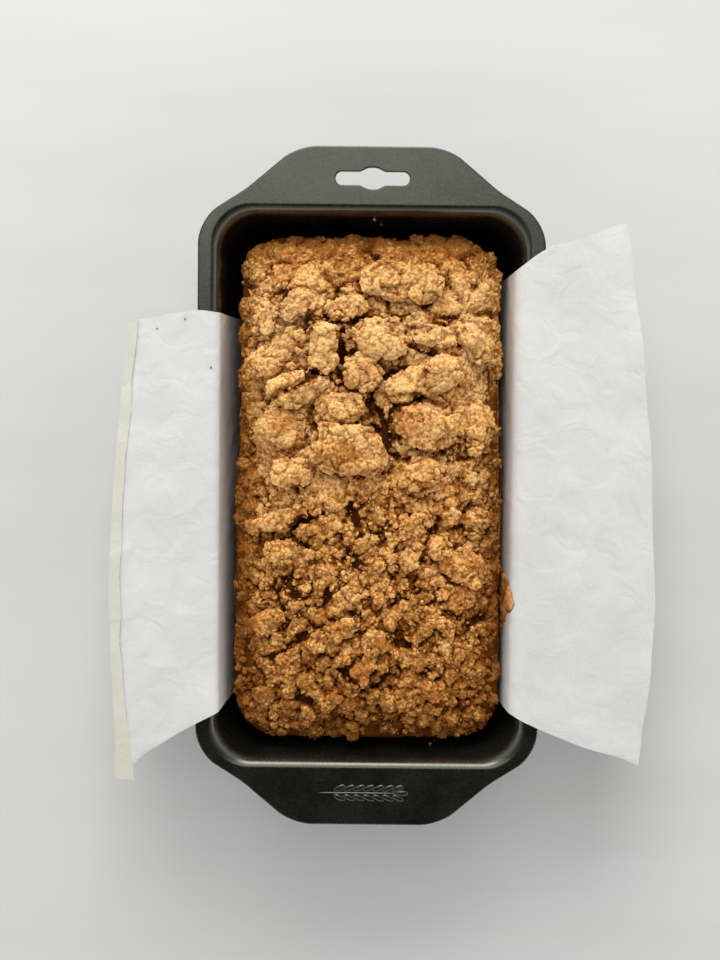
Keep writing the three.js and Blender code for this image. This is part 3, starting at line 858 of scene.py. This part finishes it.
# Darker towards the edges: partly toasted crust and partly painted shade, more on the left.
left = level(look, place["X"], -45 * MM, -56 * MM, 0.0, 0.42)
right = level(look, place["X"], 45 * MM, 57 * MM, 0.0, 0.26)
# Painted shade: darker at the far end, where the tin's wall shades the loaf.
far_end_shade = level(look, place["Y"], 84 * MM, 105 * MM, 0.0, 0.50)
# Darker at the near end: partly toasted crust and partly painted shade.
near_end = level(look, place["Y"], -92 * MM, -107 * MM, 0.0, 0.04)
end = sums(look, "MAXIMUM", far_end_shade, near_end)
# Painted shade over the near half, whose slope faces away from the light, and painted light over the far
# half.
near = level(look, place["Y"], 60 * MM, -105 * MM, -0.14, 0.20)
side = sums(look, "MAXIMUM", left, right)
toast_and_shade = sums(look, "ADD", sums(look, "MAXIMUM", side, end), near)
shade = blend(look, cloud(look, where, 95.0, 3.0), mottle, 0.45)
shade = sums(look, "SUBTRACT", sums(look, "ADD", shade, given["Tone"]), toast_and_shade)
# Painted light and shade: each sugar grain comes out lighter in its middle and darker at its edge.
grains = level(look, sugar, 0.1, 0.75, 0.10, -0.15)
shade = sums(look, "ADD", shade, grains)
dough = ramp(look, shade, [(0.17, TOASTED), (0.31, GOLDEN_BROWN), (0.43, GOLDEN), (0.60, PALE)])
scorch = cloud(look, where, 75.0, 5.0, Distortion=0.6)
burnt = level(look, scorch, 0.60, 0.74, 0.0, 0.75)
from_above = add_node(look, "ShaderNodeVectorMath", {0: where, 1: (1, 1, 0)}, operation="MULTIPLY")
for spot in SCORCHED_AT:
    apart = {0: from_above.outputs[0], 1: Vector((*spot, 0)) * MM}
    away = add_node(look, "ShaderNodeVectorMath", apart, operation="DISTANCE").outputs["Value"]
    ragged = sums(look, "ADD", away, sums(look, "MULTIPLY", scorch, SCORCHED_RAGGED))
    burnt = sums(look, "MAXIMUM", burnt, level(look, ragged, *SCORCHED_RADII, 0.0, 0.6))
dough = mix(look, burnt, dough, SCORCHED)
# Painted shade in the fine lines between the sugar grains.
shade_between_grains = level(look, sugar, 0.5, 0.85, 0.0, 0.55)
dough = mix(look, shade_between_grains, dough, CREASE_BROWN_AND_SHADE)
# Painted shade in the creases, on top of the dough's own deeper brown there, near black where deepest.
dough = mix(look, level(look, given["Crease"], 0.2, 1.8, 0.0, 0.92), dough, CREASE_BROWN_AND_SHADE)
dough = mix(look, level(look, given["Crease"], 1.4, 3.0), dough, CREASE_SHADE)
result = add_node(look, "NodeGroupOutput").inputs
look.links.new(dough, result["Color"])
look.links.new(level(look, mottle, 0.3, 0.7, 0.62, 0.85), result["Roughness"])
grit = sums(look, "SUBTRACT", mottle, sums(look, "MULTIPLY", sugar, 0.9))
look.links.new(grit, result["Height"])

crumb_dough, tree, shader, where = new_material("crumb_dough")
dough = add_node(tree, "ShaderNodeGroup", node_tree=look)
tree.links.new(where, dough.inputs["Where"])
for name in ("Crease", "Tone"):
    noted = add_node(tree, "ShaderNodeAttribute", attribute_name=name.lower()).outputs["Fac"]
    tree.links.new(noted, dough.inputs[name])
tree.links.new(dough.outputs["Color"], shader.inputs["Base Color"])
tree.links.new(dough.outputs["Roughness"], shader.inputs["Roughness"])
tree.links.new(bump(tree, dough.outputs["Height"], 0.75, 0.7 * MM), shader.inputs["Normal"])
shader.inputs["Specular IOR Level"].default_value = 0.07
topping.data.materials.append(crumb_dough)
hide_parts("crumb_topping")
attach(topping, "root")


# ---- Large crumbs -------------------------------------------------------------------------
# The biggest clumps, each a lump of the same dough that baked fast where it fell. They are given
# a slightly paler tone than the crumbs round them.

CRUMB_CELL = 0.62 * MM
LUMP = 7 * MM
LUMP_HEIGHT = 1.1 * MM
LUMP_BENT = (11 * MM, 2.0 * MM)  # over what length, and how far
LUMP_CRACKED = 0.6  # how deep the cracks go in them, as a share of their depth beside them
LUMP_TONE = 0.03
LUMP_KNOBS = [(2.4 * MM, 0.5 * MM), (1.3 * MM, 0.34 * MM)]


def lump_rise(at):
    """How far smaller clumps and the cracks lift or sink a place on a large crumb."""
    return LUMP_HEIGHT * clump(at, LUMP) - LUMP_CRACKED * crack(at)


large_crumbs = []
for node_name in sorted(lump_nodes):
    crumb = copy_of(node_name, node_name.replace("large_crumb", "baked_clump"))
    soften(crumb, CRUMB_CELL, 6)
    for vertex in crumb.data.vertices:
        vertex.co = wandering(vertex.co, *LUMP_BENT)
    shape_crumbs(crumb, lump_rise, LUMP_KNOBS, LUMP_TONE)
    crumb.data.materials.append(crumb_dough)
    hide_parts(node_name)
    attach(crumb, "root")
    large_crumbs.append(crumb)


# ---- Strewn crumbs ------------------------------------------------------------------------
# Loose bits of the same dough, from hazelnut size down to coarse sugar, which lie half sunk in
# the topping and on the large crumbs. Each size is one piece.

STREWN = [  # name, how many, smallest and largest size, fineness, how far sunk, different shapes
    ("small_crumbs", 300, 3.6 * MM, 8 * MM, 3, 0.42, 40),
    ("crumbs_like_rice", 900, 2.0 * MM, 3.6 * MM, 2, 0.40, 60),
    ("crumbs_like_sugar", 1000, 0.9 * MM, 1.8 * MM, 1, 0.2, 30),
]
LOAF_HALF = (54.5 * MM, 105.5 * MM)
LOAF_CORNER = 18 * MM
FAR_BARER = 0.6  # share of the loose crumbs that the far half goes without
MOSTLY_SMALL = 1.8  # over 1, small ones outnumber large ones within a size
CRUMB_SIDES = (1, 0.78, 0.62)
KIND_APART = 3.7  # how far apart in the noise two kinds of crumb lie


def on_loaf(x, y):
    """Whether a place lies inside the loaf's rounded outline, seen from above."""
    beyond = [max(0, abs(value) - half + LOAF_CORNER) for value, half in zip((x, y), LOAF_HALF)]
    return math.hypot(*beyond) < LOAF_CORNER


def crumb_shapes(fineness, kinds):
    """Some kinds of knobbly crumb of size 1, each as its corners and faces."""
    shapes = []
    for i in range(kinds):
        bpy.ops.object.select_all(action="DESELECT")
        bpy.ops.mesh.primitive_ico_sphere_add(subdivisions=fineness, radius=0.5)
        ball = bpy.context.object
        corners = []
        for vertex in ball.data.vertices:
            at = vertex.co * Vector(CRUMB_SIDES) + Vector((KIND_APART * i, 0, 0))
            lump = 0.75 + 0.5 * knob(at, 0.42) + 0.35 * noise.noise(at * 2.2)
            corners.append((at - Vector((KIND_APART * i, 0, 0))) * lump)
        shapes.append((np.array(corners), np.array([face.vertices[:] for face in ball.data.polygons])))
        bpy.ops.object.delete()
    return shapes


def straight_down(faces, x, y):
    """Where a line straight down at (x, y) meets a tree of faces, and their normal there."""
    return faces.ray_cast(Vector((x, y, 1)), Vector((0, 0, -1)))[:2]


def piece_of(mesh):
    """The object of a new mesh, with the same name, as the only object selected."""
    piece = bpy.data.objects.new(mesh.name, mesh)
    bpy.context.collection.objects.link(piece)
    only(piece)
    return piece


def strew(name, shapes, places, ground, dice, sunk, tone):
    """One piece of crumbs of (x, y, size), each lying on the ground and turned at random."""
    corners, faces, tones, creases, total = [], [], [], [], 0
    for x, y, size in places:
        hit, normal = straight_down(ground, x, y)
        if hit is None:
            continue
        shape, shape_faces = dice.choice(shapes)
        longest = Vector((dice.gauss(0, 1), dice.gauss(0, 1), dice.gauss(0, 1)))
        turn = np.array(longest.to_track_quat("X", "Z").to_matrix())
        middle = hit + normal * size * (CRUMB_SIDES[2] / 2 - sunk)
        corners.append(shape @ turn.T * size + np.array(middle))
        faces.append(shape_faces + total)
        total += len(shape)
        tones += [dice.gauss(tone, 0.05)] * len(shape)
        # Painted shade: the dents and flat sides of each crumb, nearer its middle, come out darker.
        creases += list(1.3 - 2.6 * np.linalg.norm(shape, axis=1))
    mesh = bpy.data.meshes.new(name)
    mesh.from_pydata(np.concatenate(corners).tolist(), [], np.concatenate(faces).tolist())
    note(mesh, "tone", tones)
    note(mesh, "crease", creases)
    strewn = piece_of(mesh)
    bpy.ops.object.shade_smooth()
    strewn.data.materials.append(crumb_dough)
    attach(strewn, "root")


crumbs_so_far = tree_over([topping] + large_crumbs)
for name, count, smallest, largest, fineness, sunk, kinds in STREWN:
    dice = random.Random(name)
    places = []
    while len(places) < count:
        x, y = dice.uniform(-1, 1) * LOAF_HALF[0], dice.uniform(-1, 1) * LOAF_HALF[1]
        if on_loaf(x, y) and dice.random() > FAR_BARER * far_half(y):
            places.append((x, y, smallest + (largest - smallest) * dice.random() ** MOSTLY_SMALL))
    strew(name, crumb_shapes(fineness, kinds), places, crumbs_so_far, dice, sunk, tone=0.01)

# A few crumbs have fallen on the tin's walls and on the paper.
STRAYS = [  # place and size, in mm
    (1, 113.2, 1.8), (4, 112, 1.3), (22, 108.5, 1.8), (28, -111.6, 1.6), (30, -111, 1.0), (47, -106, 1.7),
    (50, -102, 1.5), (43, -109, 1.2), (-22, -111, 1.2), (-77, 70, 1.0), (-89, 66, 0.9), (-66, 50, 1.1),
]
strew("stray_crumbs", crumb_shapes(2, 6), [(x * MM, y * MM, size * MM) for x, y, size in STRAYS],
      tree_over([tin, strip]), random.Random(11), sunk=0.05, tone=0.1)


# ---- Crust tab ----------------------------------------------------------------------------
# On the right the batter rose against the paper and stuck there, which left a thin tongue of
# caramelised crust on it.

TAB_FROM = 56.3 * MM  # where it leaves the loaf
TAB_ENDS = (-69 * MM, -33 * MM)
TAB_REACH = [0.6, 0.9, 1.4, 1.6, 2.2, 3.4, 5.0, 4.2, 3.4, 2.4, 1.2]  # in mm, from the near end
TAB_EDGE_STRAYS = 0.7 * MM
TAB_LUMP = 3 * MM
TAB_LIES_OFF = 0.05 * MM  # how far it lies off the paper
TAB_THICK = 1.5 * MM
TAB_ACROSS = 14
TAB_ALONG = 60

paper_below = tree_over([strip])
corners = []
for layer in (1, 0):
    for i in range(TAB_ALONG + 1):
        for j in range(TAB_ACROSS + 1):
            along, across = i / TAB_ALONG, j / TAB_ACROSS
            y = TAB_ENDS[0] + (TAB_ENDS[1] - TAB_ENDS[0]) * along
            reach = float(np.interp(along * 10, range(len(TAB_REACH)), TAB_REACH)) * MM
            reach += TAB_EDGE_STRAYS * noise.noise(Vector((0, y / TAB_LUMP, 0)))
            hit, normal = straight_down(paper_below, TAB_FROM + reach * across, y)
            round_over = math.sqrt(max(0, 1 - (2 * across - 1) ** 2) * min(1, 20 * along * (1 - along)))
            lumpy = 0.7 + 0.5 * noise.noise(hit / TAB_LUMP) + 0.25 * noise.noise(hit / MM)
            corners.append(hit + normal * (TAB_LIES_OFF + layer * TAB_THICK * round_over * lumpy))
row, one_side = TAB_ACROSS + 1, len(corners) // 2
faces = [(i, i + 1, i + row + 1, i + row) for i in range(one_side - row) if i % row < TAB_ACROSS]
faces += [tuple(one_side + corner for corner in reversed(face)) for face in faces]
mesh = bpy.data.meshes.new("caramelised_crust_tab")
mesh.from_pydata(corners, [], faces)
tab = piece_of(mesh)
bpy.ops.object.mode_set(mode="EDIT")
bpy.ops.mesh.select_all(action="SELECT")
bpy.ops.mesh.remove_doubles(threshold=0.0001 * MM)
bpy.ops.mesh.normals_make_consistent(inside=False)
bpy.ops.object.mode_set(mode="OBJECT")
bpy.ops.object.shade_smooth()

CARAMEL_DARK = (0.16, 0.045, 0.010)
CARAMEL = (0.52, 0.20, 0.045)
CARAMEL_PALE = (0.72, 0.38, 0.12)

caramel, tree, shader, where = new_material("caramelised_crust")
blisters = cloud(tree, where, 190.0, 5.0, Roughness=0.6)
caramel_colour = ramp(tree, blisters, [(0.36, CARAMEL_DARK), (0.5, CARAMEL), (0.66, CARAMEL_PALE)])
tree.links.new(caramel_colour, shader.inputs["Base Color"])
tree.links.new(level(tree, blisters, 0.3, 0.7, 0.35, 0.6), shader.inputs["Roughness"])
tree.links.new(bump(tree, blisters, 0.5, 1 * MM), shader.inputs["Normal"])
tab.data.materials.append(caramel)
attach(tab, "root")
